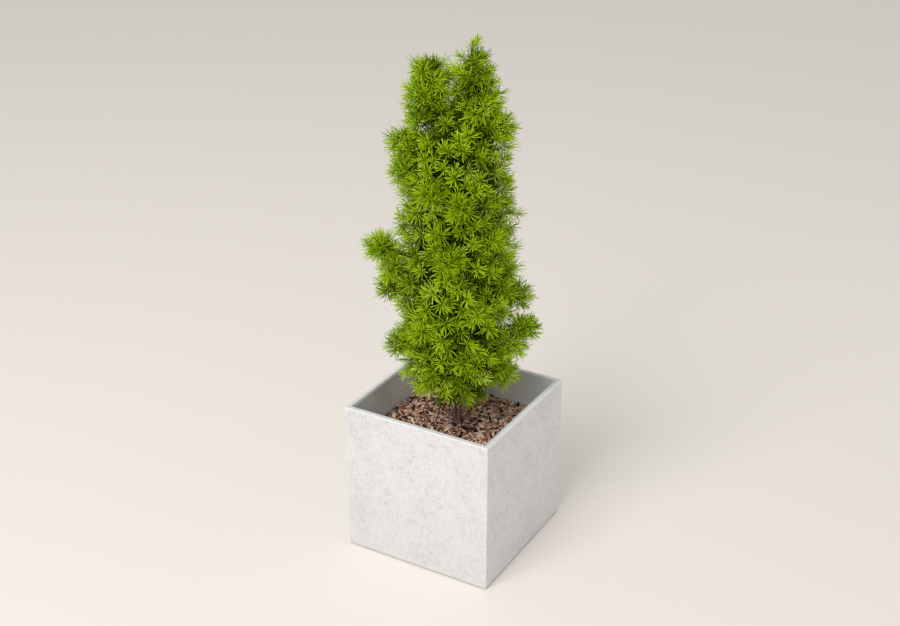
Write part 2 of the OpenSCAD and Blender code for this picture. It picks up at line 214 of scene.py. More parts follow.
@dataclass(frozen=True)
class Concrete:
    """Pale fibre-concrete: soft clouds, fine upright and level strokes, pores, darker patches towards the
    bottom, and a painted highlight along the outer edges.
    """

    body: Colour = paint(234, 234, 234)
    cloud: Colour = paint(204, 204, 205)
    stroke: Colour = paint(192, 192, 193)
    edge: Colour = paint(250, 250, 249)
    pore: Colour = paint(158, 157, 155)
    half: float = 0.25
    top: float = 0.5
    darkened_below: float = 0.34

    def build(self, name: str) -> Material:
        """Makes the material."""
        tree = Tree(name)
        clouds = tree.noise(8, 5, 0.65).between(0.46, 0.76)
        mottle = tree.noise(55, 5, 0.7).between(0.47, 0.7)
        upright = tree.noise(340, 3, 0.6, tree.place((1, 1, 0.1))).between(0.48, 0.7)
        level = tree.noise(360, 3, 0.6, tree.place((0.12, 0.12, 1))).between(0.5, 0.72)
        patch = 0.3 + 0.7 * tree.noise(12, 3).between(0.35, 0.65)
        colour = tree.mix(clouds * 0.26 + mottle * 0.4, self.body, self.cloud)
        colour = tree.mix((upright * 0.8 + level * 0.6) * patch, colour, self.stroke)
        x, y, z = tree.axes()
        # Darker towards the bottom, in patches.
        lower_patches = z.between(self.darkened_below, 0.0) * (0.35 + 0.65 * tree.noise(20, 3))
        colour = tree.mix(lower_patches * 0.3, colour, self.cloud)
        scuff = tree.noise(150, 4, 0.7, tree.place((1, 1, 0.6))).between(0.66, 0.74) * patch
        holes = tree.cells(150).between(0.17, 0.06) * tree.noise(40, 2).between(0.54, 0.64)
        pores = holes.larger(scuff * 0.6)
        colour = tree.mix(pores * 0.6, colour, self.pore)
        # Painted highlight: the colour turns paler within a few millimetres of the outer vertical corners
        # and the top outer edges.
        near = [axis.distance().between(end - 5 * MM, end - 1 * MM)
                for axis, end in ((x, self.half), (y, self.half), (z, self.top))]
        edge_highlight = near[0] * near[1] + near[2] * near[0].larger(near[1])
        colour = tree.mix(edge_highlight * 0.7, colour, self.edge)
        relief = 0.5 * upright + 0.4 * level + 0.5 * mottle + 0.8 * tree.noise(900, 2) - 1.6 * pores
        return tree.finish(Base_Color=colour, Roughness=0.74 + 0.14 * clouds,
                           Normal=tree.bump(relief, 0.4 * MM, 0.6))


class Grain(Enum):
    """How a metal's surface is broken up."""

    SPANGLE = "spangle"
    DRAWN = "drawn"
    TURNED = "turned"


@dataclass(frozen=True)
class Metal:
    """Bare or plated metal: zinc spangle, drawn lines along the piece, or a turned surface."""

    pale: Colour
    dull: Colour
    grain: Grain
    rough: float = 0.38

    def build(self, name: str) -> Material:
        """Makes the material."""
        tree = Tree(name)
        if self.grain is Grain.SPANGLE:
            flakes = tree.out("ShaderNodeSeparateColor", {}, {0: tree.cells(95, place="Color")})
            share = relief = flakes * 0.75 + tree.noise(30, 3) * 0.25
        elif self.grain is Grain.DRAWN:
            share = relief = tree.noise(900, 3, 0.6, tree.place((1, 1, 0.08)))
        else:
            share = tree.noise(160, 4, 0.6)
            relief = tree.noise(1200, 2, 0.6, tree.place((0.1, 0.1, 1)))
        stain = tree.noise(45, 4, 0.6).between(0.55, 0.75)
        colour = tree.mix(share * 0.8 + stain * 0.3, self.pale, self.dull)
        rough = self.rough + 0.14 * share + 0.15 * stain
        return tree.finish(Base_Color=colour, Metallic=1.0, Roughness=rough,
                           Normal=tree.bump(relief, 0.05 * MM, 0.4))


@dataclass(frozen=True)
class Coating:
    """Matt powder coat on sheet steel: fine orange peel, soft clouds, water marks and dust low down."""

    body: Colour = paint(224, 227, 231)
    shade: Colour = paint(206, 209, 213)
    dust: Colour = paint(226, 222, 216)
    low: float = 0.37

    def build(self, name: str) -> Material:
        """Makes the material."""
        tree = Tree(name)
        z = tree.axes()[2]
        runs = tree.noise(60, 4, 0.6, tree.place((1, 1, 0.06))).between(0.52, 0.72)
        lower_patches = z.between(self.low + 0.05, self.low) * tree.noise(70, 4, 0.65).between(0.4, 0.65)
        clouds = tree.noise(7, 4, 0.6).between(0.4, 0.7)
        tone = tree.mix(clouds, self.body, self.shade)
        colour = tree.mix(runs * 0.4 + lower_patches * 0.6, tone, self.dust)
        return tree.finish(Base_Color=colour, Roughness=0.55 + 0.15 * lower_patches + 0.1 * runs,
                           Normal=tree.bump(tree.noise(1500, 2), 0.06 * MM, 0.5))


@dataclass(frozen=True)
class Rubber:
    """Black moulded rubber with a dusty foot."""

    body: Colour = paint(34, 34, 35)
    dust: Colour = paint(96, 92, 86)

    def build(self, name: str) -> Material:
        """Makes the material."""
        tree = Tree(name)
        z = tree.axes()[2]
        dust = z.between(0.004, 0.0) * 0.6 + tree.noise(220, 4, 0.7).between(0.55, 0.8) * 0.3
        return tree.finish(Base_Color=tree.mix(dust, self.body, self.dust), Roughness=0.62 + 0.2 * dust,
                           Normal=tree.bump(tree.noise(2500, 2), 0.05 * MM, 0.6))


@dataclass(frozen=True)
class Crumb:
    """Loose matter such as soil or baked clay: round lumps of mixed tone with deep gaps."""

    dark: Colour
    pale: Colour
    lumps: float
    depth: float

    def build(self, name: str) -> Material:
        """Makes the material."""
        tree = Tree(name)
        lump = tree.cells(self.lumps)
        tone = tree.noise(self.lumps * 0.7, 4, 0.65) * 0.8 + lump * 0.4
        relief = 1 - lump + tree.noise(self.lumps * 4, 3) * 0.4
        colour = tree.mix(tone, self.dark, self.pale)
        return tree.finish(Base_Color=colour, Roughness=0.88 + 0.08 * tone,
                           Normal=tree.bump(relief, self.depth, 0.9))


@dataclass(frozen=True)
class Fleece:
    """White needle-felted filter cloth: crossing fibres and small felting pits."""

    fibre: Colour = paint(226, 226, 221)
    shade: Colour = paint(176, 175, 168)

    def build(self, name: str) -> Material:
        """Makes the material."""
        tree = Tree(name)
        one = tree.noise(700, 3, 0.7, tree.place((1, 0.15, 1)))
        two = tree.noise(700, 3, 0.7, tree.place((0.15, 1, 1)))
        pits = tree.cells(420).between(0.4, 0.1)
        felt = one.larger(two) - 0.4 * pits
        return tree.finish(Base_Color=tree.mix(felt, self.shade, self.fibre), Roughness=0.9 + 0.05 * pits,
                           Normal=tree.bump(felt, 0.3 * MM, 0.8), Sheen_Weight=0.3)


@dataclass(frozen=True)
class ChipBark:
    """Broken bark: each chip has its own colour, with fibres along it and dark flecks."""

    fleck: Colour = paint(58, 38, 30)

    def build(self, name: str) -> Material:
        """Makes the material."""
        tree = Tree(name)
        fibre = tree.noise(3, 4, 0.7, tree.place((0.9, 9, 1), "UV"))
        flecks = tree.noise(420, 3, 0.6).between(0.58, 0.7)
        colour = tree.mix(fibre.between(0.54, 0.78) * 0.45 + flecks * 0.25, tree.own_tone(), self.fleck)
        return tree.finish(Base_Color=colour, Roughness=0.78 + 0.18 * fibre, Specular_IOR_Level=0.2,
                           Normal=tree.bump(fibre + 0.5 * tree.noise(900, 2), 0.5 * MM, 0.8))


@dataclass(frozen=True)
class ShrubBark:
    """Flaking brown bark: long upright plates with dark cracks, and greener young wood higher up."""

    plate: Colour = paint(142, 106, 92)
    crack: Colour = paint(66, 45, 38)
    flake: Colour = paint(176, 142, 124)
    young: Colour = paint(44, 50, 22)
    old_wood: float = 0.47

    def build(self, name: str) -> Material:
        """Makes the material."""
        tree = Tree(name)
        ridge = tree.noise(190, 4, 0.65, tree.place((1, 1, 0.16)))
        plates = tree.mix(ridge.between(0.35, 0.6), self.crack, self.plate)
        flakes = tree.noise(90, 3, 0.6, tree.place((1, 1, 0.4))).between(0.58, 0.7)
        z = tree.axes()[2]
        colour = tree.mix(flakes * 0.6, plates, self.flake)
        colour = tree.mix(z.between(self.old_wood, self.old_wood + 0.09) * 0.85, colour, self.young)
        return tree.finish(Base_Color=colour, Roughness=0.8 + 0.1 * ridge, Specular_IOR_Level=0.2,
                           Normal=tree.bump(ridge, 1.2 * MM, 0.9))


@dataclass(frozen=True)
class Needle:
    """Live needles: each has its own green, a little waxy, with a faint mottle."""

    shade: Colour = paint(54, 78, 0)

    def build(self, name: str) -> Material:
        """Makes the material."""
        tree = Tree(name)
        mottle = tree.noise(160, 3, 0.6)
        colour = tree.mix(mottle.between(0.5, 0.75) * 0.22, tree.own_tone(), self.shade)
        return tree.finish(Base_Color=colour, Roughness=0.46 + 0.16 * mottle, Specular_IOR_Level=0.12)


# ---- shape tools


def placed(name: str, data: bpy.types.ID) -> bpy.types.Object:
    """A new object with this data, linked to the scene."""
    made = bpy.data.objects.new(name, data)
    bpy.context.scene.collection.objects.link(made)
    return made


@dataclass
class Shape:
    """A mesh under construction: points, triangles, and for each point a colour and a map place."""

    points: Array
    triangles: Array
    tones: Array | None = None
    places: Array | None = None

    @staticmethod
    def joined(shapes: list["Shape"]) -> "Shape":
        """One shape that holds all of these, which all have tones and places or all have none."""
        starts = np.cumsum([0] + [len(s.points) for s in shapes[:-1]])
        triangles = np.concatenate([s.triangles + start for s, start in zip(shapes, starts)])
        parts = [None if shapes[0].tones is None else np.concatenate([s.tones for s in shapes]),
                 None if shapes[0].places is None else np.concatenate([s.places for s in shapes])]
        return Shape(np.concatenate([s.points for s in shapes]), triangles, *parts)

    def piece(self, name: str, material: Material, slot: str, *stands_for: str) -> bpy.types.Object:
        """Makes the shape an object that rides on the liner and its planting.

        Args:
            name: The new object's name.
            material: Its material.
            slot: The record's material slot that the piece stands for; not used.
            stands_for: The CAD nodes that it replaces.

        Returns:
            The new object.
        """
        mesh = bpy.data.meshes.new(name)
        mesh.vertices.add(len(self.points))
        mesh.vertices.foreach_set("co", self.points.astype(np.float32).ravel())
        mesh.loops.add(3 * len(self.triangles))
        mesh.loops.foreach_set("vertex_index", self.triangles.astype(np.int32).ravel())
        mesh.polygons.add(len(self.triangles))
        mesh.polygons.foreach_set("loop_start", np.arange(0, 3 * len(self.triangles), 3, dtype=np.int32))
        mesh.polygons.foreach_set("use_smooth", np.ones(len(self.triangles), bool))
        mesh.update(calc_edges=True)
        if self.tones is not None:
            colours = np.column_stack([self.tones, np.ones(len(self.tones))]).astype(np.float32)
            mesh.attributes.new("tone", "FLOAT_COLOR", "POINT").data.foreach_set("color", colours.ravel())
        if self.places is not None:
            corners = self.places[self.triangles.ravel()].astype(np.float32)
            mesh.uv_layers.new(name="Along").data.foreach_set("uv", corners.ravel())
        mesh.materials.append(material)
        made = placed(name, mesh)
        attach(made, "liner_unit")
        if stands_for:
            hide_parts(*stands_for)
        LOG.info("%s: %d triangles", name, len(self.triangles))
        return made


def unit(vectors: Array) -> Array:
    """Vectors scaled to length one along the last axis."""
    return vectors / np.maximum(np.linalg.norm(vectors, axis=-1, keepdims=True), 1e-9)


def square_to(axes: Array) -> tuple[Array, Array]:
    """For each axis, two unit vectors square to it and to each other."""
    other = np.where(np.abs(axes[..., 2:3]) < 0.9, UP, [1.0, 0.0, 0.0])
    side = unit(np.cross(axes, other))
    return side, np.cross(axes, side)


def grid_triangles(rows: int, columns: int, wrap: bool) -> Array:
    """Triangles of a grid of points numbered row by row; wrap joins the last column to the first."""
    steps = columns if wrap else columns - 1
    row, column = np.meshgrid(np.arange(rows - 1), np.arange(steps), indexing="ij")
    a = row * columns + column
    b = row * columns + (column + 1) % columns
    c, d = b + columns, a + columns
    return np.stack([a, b, c, a, c, d], -1).reshape(-1, 3)


def repeated(triangles: Array, copies: int, step: int) -> Array:
    """The triangles of one copy, repeated for copies that have step points each."""
    return (triangles[None] + step * np.arange(copies)[:, None, None]).reshape(-1, 3)


def slab_triangles(rows: int, columns: int) -> Array:
    """Triangles of a closed slab: a grid of points numbered row by row, then the same grid beneath it."""
    index = np.arange(rows * columns).reshape(rows, columns)
    rim = np.concatenate([index[0, :-1], index[:-1, -1], index[-1, :0:-1], index[:0:-1, 0]])
    after = np.roll(rim, -1)
    under = rows * columns
    face = grid_triangles(rows, columns, False)
    return np.concatenate([face, face[:, ::-1] + under, np.stack([rim, rim + under, after + under], -1),
                           np.stack([rim, after + under, after], -1)])


def tube_triangles(rings: int, sides: int) -> Array:
    """Triangles of a closed tube: its rings of points in turn, then the middles of both end rings."""
    ring = np.arange(sides)
    after = (ring + 1) % sides
    first, last = np.full(sides, rings * sides), np.full(sides, rings * sides + 1)
    top = (rings - 1) * sides
    return np.concatenate([grid_triangles(rings, sides, True), np.stack([first, after, ring], -1),
                           np.stack([last, top + ring, top + after], -1)])


def tubes(starts: Array, ends: Array, thick: Array, thin: Array, sides: int,
          sag: Array, rings: int = 5) -> Shape:
    """Tapered round limbs, closed at both ends.

    A limb's centre runs from start to end, moved by sag times sin(pi t). Its radius falls evenly
    from thick to thin, and each ring is a regular polygon square to the limb.

    Args:
        starts: Where each limb starts, one row a limb.
        ends: Where each limb ends.
        thick: Radius at each start.
        thin: Radius at each end.
        sides: Corners of a ring.
        sag: How far and which way each limb's middle bows.
        rings: Rings along a limb.

    Returns:
        All the limbs as one shape.
    """
    t = np.linspace(0, 1, rings)[None, :, None]
    centre = starts[:, None] + (ends - starts)[:, None] * t + sag[:, None] * np.sin(math.pi * t)
    radius = thick[:, None, None] * (1 - t) + thin[:, None, None] * t
    side, up = square_to(unit(ends - starts))
    turn = np.arange(sides) * math.tau / sides
    spoke = side[:, None] * np.cos(turn)[None, :, None] + up[:, None] * np.sin(turn)[None, :, None]
    wall = (centre[:, :, None] + radius[:, :, None] * spoke[:, None]).reshape(len(starts), -1, 3)
    points = np.concatenate([wall, centre[:, :1], centre[:, -1:]], 1)
    one = tube_triangles(rings, sides)
    return Shape(points.reshape(-1, 3), repeated(one, len(starts), points.shape[1]))


# ---- box, frame and feet


@dataclass
class Casework:
    """The box, its frame, fasteners and feet: shapes from the frame, dressed here."""

    concrete: Concrete = Concrete()
    galvanised: Metal = Metal(paint(196, 200, 204), paint(150, 155, 160), Grain.SPANGLE)
    zinc: Metal = Metal(paint(214, 214, 208), paint(168, 168, 160), Grain.DRAWN, 0.3)
    brass: Metal = Metal(paint(214, 178, 104), paint(158, 122, 62), Grain.TURNED, 0.34)
    rubber: Rubber = Rubber()
    coating: Coating = Coating()
    clay: Crumb = Crumb(paint(96, 52, 34), paint(172, 112, 80), 130, 6 * MM)
    soil: Crumb = Crumb(paint(30, 21, 16), paint(74, 54, 42), 260, 3 * MM)

    def dress(self) -> None:
        """Gives every CAD node that stays in view its material, by its slot in the record."""
        made = {
            "concrete": self.concrete.build("fibre_concrete"),
            "galvanised_steel": self.galvanised.build("galvanised_steel"),
            "zinc_plate": self.zinc.build("zinc_plated_steel"),
            "brass": self.brass.build("turned_brass"),
            "pad_rubber": self.rubber.build("pad_rubber"),
            "liner_coating": self.coating.build("liner_powder_coat"),
            "expanded_clay": self.clay.build("expanded_clay"),
            "soil": self.soil.build("soil"),
            "fleece": Fleece().build("filter_fleece"),
        }
        slots = {part["node"]: part["material_slot"] for part in frame["record"]["subparts"]}
        for node, piece in frame["nodes"].items():
            if slots[node] in made:
                piece.data.materials.clear()
                piece.data.materials.append(made[slots[node]])
        LOG.info("casework: %d nodes dressed", sum(slots[n] in made for n in frame["nodes"]))


# ---- bark mulch


@dataclass
class Mulch:
    """Loose bark over a dark bed, which is dark matter under the chips and painted shade deep in the gaps
    between them: thousands of curled chips, and crumbs between them.
    """

    chips: int = 4500
    crumbs: int = 3600
    crown: float = 10 * MM
    wave: float = 3.5 * MM
    inset: float = 0.4 * MM
    seed: int = 21
    tints: tuple[Colour, ...] = (
        paint(226, 184, 160), paint(206, 158, 134), paint(174, 127, 104), paint(236, 204, 180),
        paint(126, 88, 71), paint(44, 30, 25), paint(206, 172, 158), paint(242, 216, 194),
    )
    shares: tuple[float, ...] = (0.20, 0.18, 0.13, 0.13, 0.09, 0.16, 0.06, 0.05)
    palest: Colour = (0.93, 0.69, 0.53)
    sequence: tuple[float, float] = (0.7548776662, 0.5698402910)

    def __post_init__(self) -> None:
        """Reads the space that the mulch fills."""
        low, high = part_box("bark_mulch")
        self.half = high.x - self.inset
        self.floor = low.z
        self.edge = high.z - self.crown

    def height(self, x: Array, y: Array) -> Array:
        """Height of the mulch: a low cone round the trunk and a few slow waves over it."""
        radius = np.hypot(x, y)
        cone = self.crown * np.clip(1 - radius / self.half, 0, 1)
        waves = np.sin(31 * x + 1.3) * np.cos(27 * y - 0.4) + 0.6 * np.sin(52 * x - 43 * y)
        return self.edge + cone + self.wave * waves / 1.6

    def bed(self) -> Shape:
        """A closed slab under the chips: a rough top over a flat floor."""
        count, depth = 70, 12 * MM
        line = np.linspace(-self.half, self.half, count)
        y, x = np.meshgrid(line, line, indexing="ij")
        rough = np.random.default_rng(self.seed).normal(0, 1 * MM, x.shape)
        top = np.stack([x, y, self.height(x, y) - depth + rough], -1).reshape(-1, 3)
        bottom = top * [1, 1, 0] + [0, 0, self.floor]
        return Shape(np.concatenate([top, bottom]), slab_triangles(count, count))

    def scatter(self, count: int, rng: np.random.Generator) -> Array:
        """Places on the mulch, spread by a two-dimensional golden-ratio sequence and jittered."""
        step = np.arange(1, count + 1)
        plan = np.stack([(share * step) % 1 for share in self.sequence], -1) * 2 - 1
        return (plan + rng.normal(0, 0.01, plan.shape)).clip(-1, 1) * self.half

    def flakes(self, count: int, length: tuple[float, float], rng: np.random.Generator,
               rows: int, columns: int, lift: tuple[float, float]) -> Shape:
        """Curled flakes of bark, each a closed slab.

        A flake is a grid of u along it and v across. Its width narrows towards both ends by a random
        power of u, its ends are cut at a slant, and it curls by v squared and bends by u squared.

        Args:
            count: How many flakes.
            length: Shortest and longest flake.
            rng: Source of the random numbers.
            rows: Grid rows along a flake.
            columns: Grid columns across a flake.
            lift: Lowest and highest place of a flake over the mulch's own height.

        Returns:
            The flakes as one shape, with a colour and a map place for each point.
        """
        def draw(low: float, high: float) -> Array:
            """One random number for each flake."""
            return rng.uniform(low, high, (count, 1, 1))

        u, v = np.meshgrid(np.linspace(-1, 1, rows), np.linspace(-1, 1, columns), indexing="ij")
        size = length[0] + (length[1] - length[0]) * draw(0, 1) ** 2.2
        width = size * draw(0.24, 0.54)
        taper = 1 - draw(0.25, 0.85) * np.abs(u + draw(-0.2, 0.2)) ** draw(1.6, 4)
        ragged = rng.normal(0, 0.09, (count, rows, columns))
        along = size / 2 * (u + draw(-0.35, 0.35) * v + ragged)
        across = width / 2 * (v * taper + ragged[:, ::-1] * 0.7)
        curl = width * draw(-0.05, 0.32) * v**2 + size * draw(-0.1, 0.12) * u**2
        thick = size * draw(0.06, 0.13) * (1 - 0.45 * np.abs(u) * np.abs(v))
        upper = np.stack([along, across, curl + thick], -1)
        lower = np.stack([along * 0.97, across * 0.94, curl], -1)
        local = np.stack([upper, lower], 1).reshape(count, -1, 3)
        heading, tip = rng.uniform(0, math.tau, count), rng.normal(0, 0.58, (count, 2))
        ahead = unit(np.stack([np.cos(heading), np.sin(heading), tip[:, 0]], -1))
        aside = np.stack([-np.sin(heading), np.cos(heading), tip[:, 1]], -1)
        normal = unit(np.cross(ahead, aside))
        frames = np.stack([ahead, np.cross(normal, ahead), normal], 1)
        points = np.einsum("nki,nij->nkj", local, frames)
        at = self.scatter(count, rng)
        reach = np.abs(points[..., :2]).max(1)
        at = np.clip(at, reach - self.half, self.half - reach)
        level = self.height(at[:, 0], at[:, 1]) + rng.uniform(*lift, count)
        points += np.concatenate([at, level[:, None]], 1)[:, None]
        each = 2 * rows * columns
        one = slab_triangles(rows, columns)[:, ::-1]
        tint = np.array(self.tints)[rng.choice(len(self.tints), count, p=np.array(self.shares))]
        tint = np.minimum(tint * rng.uniform(0.95, 1.8, (count, 1)), self.palest)
        places = np.stack([np.tile(u.ravel(), 2), np.tile(v.ravel(), 2)], -1)[None] * 0.5
        places = places + rng.uniform(0, 40, (count, 1, 2))
        return Shape(points.reshape(-1, 3), repeated(one, count, each), np.repeat(tint, each, 0),
                     places.reshape(-1, 2))

    def build(self) -> None:
        """Makes the bed, the chips and the crumbs."""
        rng = np.random.default_rng(self.seed)
        # The bed's near-black crumb is partly the dark matter under the chips and partly painted shade deep
        # in the gaps between chips.
        dark = Crumb(paint(16, 11, 9), paint(62, 43, 35), 240, 4 * MM).build("mulch_bed_with_gap_shade")
        self.bed().piece("mulch_bed_with_gap_shade", dark, "soil", "bark_mulch")
        bark = ChipBark().build("bark_chips")
        chips = self.flakes(self.chips, (10 * MM, 30 * MM), rng, 4, 3, (-14 * MM, 5 * MM))
        chips.piece("bark_chips", bark, "bark_chips")
        crumbs = self.flakes(self.crumbs, (4 * MM, 12 * MM), rng, 3, 2, (-7 * MM, 3 * MM))
        crumbs.piece("bark_crumbs", bark, "bark_chips")


# ---- shrub


@dataclass
class Lobe:
    """A body of foliage round an upright axis.

    Its radius at a height comes from the profile's (height, radius) pairs, plus slow waves made of
    sines of the turn and the height.
    """

    profile: tuple[tuple[float, float], ...]
    offset: float = 0.0
    ripple: float = 10 * MM

    def spiral(self, count: int, start: float, share: float) -> tuple[Array, Array, Array]:
        """Points spread evenly over the lobe on a golden-angle spiral.

        Args:
            count: How many points.
            start: Turn of the first point.
            share: Radius of the points as a share of the lobe's.

        Returns:
            The points, the outward direction of each, and its height from 0 at the foot to 1.
        """
        levels, radii = np.array(self.profile).T
        heights = np.linspace(levels[0], levels[-1], 400)
        area = np.cumsum(np.interp(heights, levels, radii) + 20 * MM)
        height = np.interp((np.arange(count) + 0.5) / count * area[-1], area, heights)
        turn = np.arange(count) * GOLDEN_ANGLE + start
        waves = np.sin(3 * turn + 47 * height) + np.sin(5 * turn - 61 * height + 1.1)
        waves = waves + np.cos(2 * turn + 29 * height)
        outward = np.cos(turn)[:, None] * ACROSS + np.sin(turn)[:, None] * AWAY
        reach = (np.interp(height, levels, radii) + self.ripple * waves / 3) * share
        points = self.offset * ACROSS + outward * reach[:, None] + height[:, None] * UP
        return points, outward, (height - levels[0]) / (levels[-1] - levels[0])


@dataclass
class Tuft:
    """A ball of shoots at the end of a bough: its middle, seen from the front, and its radius."""

    aside: float
    away: float
    height: float
    radius: float = 32 * MM
    shoots: int = 15

    def middle(self) -> Array:
        """Its middle in the shared frame."""
        return self.aside * ACROSS + self.away * AWAY + self.height * UP


@dataclass
class Shoots:
    """Leafy shoot tips: where each ends, which way it points, its size and its tone from 0 to 1."""

    tips: Array
    axes: Array
    sizes: Array
    tones: Array

    @staticmethod
    def joined(parts: list["Shoots"]) -> "Shoots":
        """All the shoots of several groups."""
        fields = ("tips", "axes", "sizes", "tones")
        return Shoots(*[np.concatenate([getattr(p, f) for p in parts]) for f in fields])

    def picked(self, keep: Array) -> "Shoots":
        """Only the shoots that keep marks."""
        return Shoots(self.tips[keep], self.axes[keep], self.sizes[keep], self.tones[keep])


@dataclass
class Shrub:
    """A slim evergreen: a forked trunk, side boughs and bare low branches, and bursts of needles."""

    needles: int = 25
    needle: float = 39 * MM
    blade: float = 2.8 * MM
    shoot: float = 15 * MM
    seed: int = 7
    # The dark green starts the tone ramp; the inner shoots' low tones pull towards it as painted shade.
    dark: Colour = paint(38, 58, 0)
    mid: Colour = paint(142, 180, 0)
    lime: Colour = paint(213, 243, 38)
    young: Colour = paint(236, 248, 130)
    young_share: float = 0.12
    sprig: Colour = paint(112, 134, 20)

    def __post_init__(self) -> None:
        """Reads the frame's heights and sets out the lobes and tufts of the crown."""
        self.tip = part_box("foliage_leader")[1].z
        self.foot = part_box("foliage_skirt")[0].z
        self.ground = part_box("bark_mulch")[1].z
        self.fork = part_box("foliage_upper")[1].z - 60 * MM
        self.rng = np.random.default_rng(self.seed)
        foot, tip = self.foot, self.tip
        self.column = Lobe((
            (foot + 0.062, 0.080), (foot + 0.080, 0.116), (foot + 0.122, 0.136), (foot + 0.24, 0.150),
            (foot + 0.40, 0.160), (foot + 0.58, 0.156), (foot + 0.74, 0.144), (foot + 0.87, 0.138),
            (foot + 0.92, 0.110), (foot + 0.94, 0.050),
        ))
        self.left_top = Lobe((
            (tip - 0.240, 0.050), (tip - 0.160, 0.050), (tip - 0.090, 0.046), (tip - 0.058, 0.028),
        ), -0.074, 4 * MM)
        self.right_top = Lobe((
            (tip - 0.250, 0.066), (tip - 0.140, 0.058), (tip - 0.080, 0.044), (tip - 0.040, 0.014),
        ), 0.052, 4 * MM)
        outline = (
            Tuft(-0.222, -0.02, 1.000, 36 * MM, 22), Tuft(-0.185, -0.06, 0.950), Tuft(-0.195, 0.01, 0.860),
            Tuft(-0.165, -0.03, 0.690, 36 * MM, 18), Tuft(-0.155, -0.01, 1.320), Tuft(-0.150, -0.03, 1.240),
            Tuft(0.212, -0.02, 0.738, 30 * MM, 16), Tuft(0.170, -0.05, 0.690, 36 * MM, 18),
            Tuft(0.188, 0.0, 0.835, 32 * MM, 16), Tuft(0.150, -0.03, 0.595), Tuft(0.126, -0.01, 1.365),
            Tuft(0.140, -0.02, 0.930), Tuft(-0.108, -0.02, 1.470, 26 * MM, 10),
            Tuft(0.085, -0.02, 1.430, 36 * MM),
        )
        tried, reach = 22, 0.152
        drawn = zip(self.rng.uniform(0.62, 1.33, tried), np.arange(tried) * GOLDEN_ANGLE)
        self.tufts = outline + tuple(
            Tuft(reach * math.cos(turn), reach * math.sin(turn), height, 30 * MM, 12)
            for height, turn in drawn if abs(math.sin(turn)) > 0.55)

    def layer(self, lobe: Lobe, count: int, start: float, share: float, tone: float) -> Shoots:
        """One layer of shoots over a lobe.

        The shoots rise more the higher they sit. Each is moved a little at random, and some of them far
        inwards. Their tones change in slow patches, a product of two sines of the place.

        Args:
            lobe: The body of foliage.
            count: How many shoots.
            start: Turn of the first one.
            share: Radius of the layer as a share of the lobe's.
            tone: Their mean tone; the inner layers get low tones, painted shade inside the crown.

        Returns:
            The shoots.
        """
        points, outward, rise = lobe.spiral(count, start, share)
        droop, climb = -12, 52
        lift = np.radians(droop + climb * rise**0.8) + self.rng.normal(0, 0.3, count)
        swing = np.cross(outward, UP) * self.rng.normal(0, 0.42, (count, 1))
        axes = unit(outward * np.cos(lift)[:, None] + UP * np.sin(lift)[:, None] + swing)
        moved = self.rng.normal(0, 11 * MM, points.shape)
        sunk = self.rng.exponential(7 * MM, (count, 1))
        points = points + moved - outward * sunk
        sizes = self.rng.uniform(0.72, 1.12, count)
        patches = np.sin(points @ [23.0, 31.0, 27.0]) * np.sin(points @ [-29.0, 17.0, 19.0])
        tones = np.clip(self.rng.normal(tone, 0.18, count) + 0.16 * patches, 0, 1)
        return Shoots(points, axes, sizes, tones)

    def ball(self, tuft: Tuft) -> Shoots:
        """The shoots of a tuft: a golden-angle sphere of tips that look outwards and a little up."""
        k = np.arange(tuft.shoots)
        z = 1 - (2 * k + 1) / tuft.shoots * 0.92
        turn = k * GOLDEN_ANGLE + tuft.height * 100
        level = np.sqrt(1 - z * z)
        spoke = np.stack([level * np.cos(turn), level * np.sin(turn), z], -1)
        middle = tuft.middle()
        away = unit(middle * [1, 1, 0])
        axes = unit(spoke + 0.55 * away + 0.2 * UP)
        tips = middle + spoke * tuft.radius * self.rng.uniform(0.75, 1.05, (tuft.shoots, 1))
        tones = np.clip(self.rng.normal(0.7, 0.15, tuft.shoots), 0, 1)
        return Shoots(tips, axes, self.rng.uniform(0.8, 1.05, tuft.shoots), tones)

    def grow(self) -> Shoots:
        """All the shoots: four layers of the column, two of each top, the tufts and the leading tip."""
        # The last number of each layer is its mean tone: the inner layers are darker as painted shade inside
        # the crown.
        layers = (
            (self.column, 520, 0.0, 1.04, 0.76), (self.column, 420, 1.0, 0.76, 0.26),
            (self.column, 280, 2.0, 0.5, 0.04), (self.column, 120, 3.0, 0.25, 0.0),
            (self.left_top, 62, 0.5, 1.0, 0.75), (self.left_top, 30, 1.5, 0.5, 0.35),
            (self.right_top, 72, 0.5, 1.0, 0.75), (self.right_top, 34, 1.5, 0.5, 0.35),
        )
        parts = [self.layer(*given) for given in layers] + [self.ball(tuft) for tuft in self.tufts]
        leader = np.array([[0.047, 0.020], [0.056, 0.008]])
        tips = leader[:, :1] * ACROSS + (self.tip - leader[:, 1:]) * UP
        axes = unit(np.array([[0.25, 0.1, 1.0], [0.35, 0.2, 1.0]]))
        return Shoots.joined(parts + [Shoots(tips, axes, np.array([0.8, 0.7]), np.array([0.8, 0.7]))])

